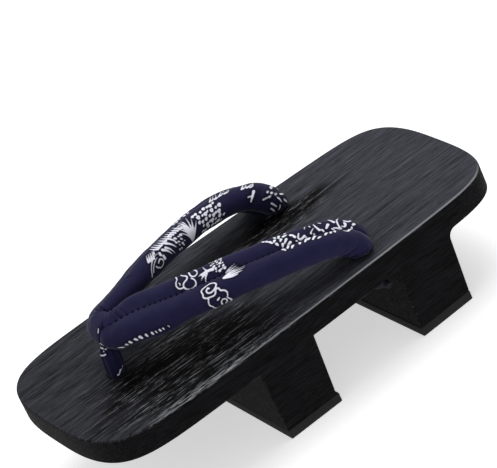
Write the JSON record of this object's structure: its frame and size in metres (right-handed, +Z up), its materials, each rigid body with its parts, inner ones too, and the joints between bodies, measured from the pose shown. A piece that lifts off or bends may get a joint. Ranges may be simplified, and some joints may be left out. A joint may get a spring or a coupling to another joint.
{
  "type": "geta sandal",
  "caption": "Wooden geta sandal: flat oblong board on two cross teeth with rubber treads, padded cotton V strap and toe loop.",
  "frame": {"origin": "on the floor, under the middle of the sandal's bounding box", "axes": "+Y along the sole from toe to heel, +Z up, +X across to the wearer's left"},
  "size_m": [0.127, 0.27, 0.0944],
  "materials": {
    "charred_wood": "charred and brushed, satin",
    "black_rubber": "matte",
    "navy_cotton": "matte cotton print",
    "navy_cotton_loop": "matte cotton print"
  },
  "bodies": {
    "root": {"wooden_base": "charred_wood", "front_tread": "black_rubber", "rear_tread": "black_rubber", "strap": "navy_cotton", "toe_loop": "navy_cotton_loop"}
  },
  "joints": []
}
